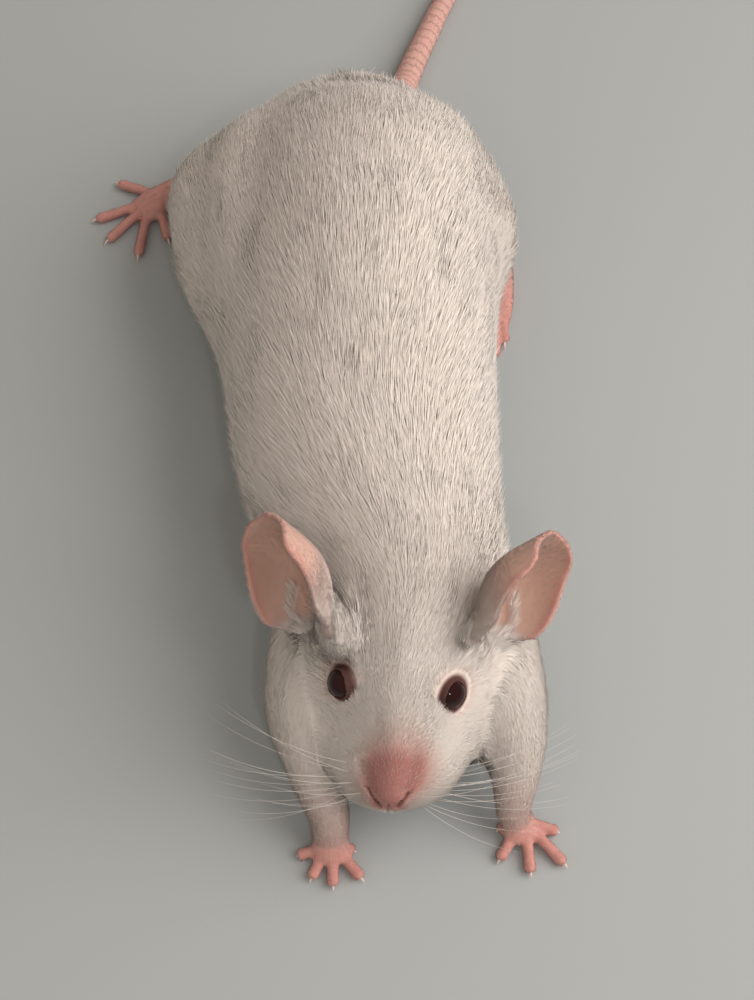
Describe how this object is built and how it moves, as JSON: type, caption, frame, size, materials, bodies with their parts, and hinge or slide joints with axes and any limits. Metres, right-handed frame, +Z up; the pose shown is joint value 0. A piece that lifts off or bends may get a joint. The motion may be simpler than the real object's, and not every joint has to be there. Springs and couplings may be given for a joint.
{
  "type": "mouse model",
  "caption": "Life-size model of a stretched-out white pet mouse on all fours, reaching forward, with round bare ears, pink paws and a long tail laid behind it.",
  "frame": {"origin": "middle of the footprint's bounding box, at floor level under the soles", "axes": "+Z up, the nose points to -Y and the tail lies towards +Y, +X is the mouse's left"},
  "size_m": [0.0594, 0.1852, 0.0332],
  "materials": {
    "coat": "short soft fur, white with a faint cream tone",
    "bare_skin": "thin pink skin, lightly creased",
    "ear_skin": "thin bare skin, slightly translucent",
    "eye": "wet gloss, very dark ruby"
  },
  "bodies": {
    "root": {"head": "coat", "neck": "coat", "trunk": "coat", "eye_right": "eye", "eye_left": "eye", "ear_right": "ear_skin", "ear_left": "ear_skin", "forepaw_right": "bare_skin", "forepaw_left": "bare_skin", "hindfoot_right": "bare_skin", "hindfoot_left": "bare_skin", "foreleg_right": "coat", "foreleg_left": "coat", "hindleg_right": "coat", "hindleg_left": "coat", "tail_base": "bare_skin", "tail_middle": "bare_skin", "tail_tip": "bare_skin"}
  },
  "joints": []
}
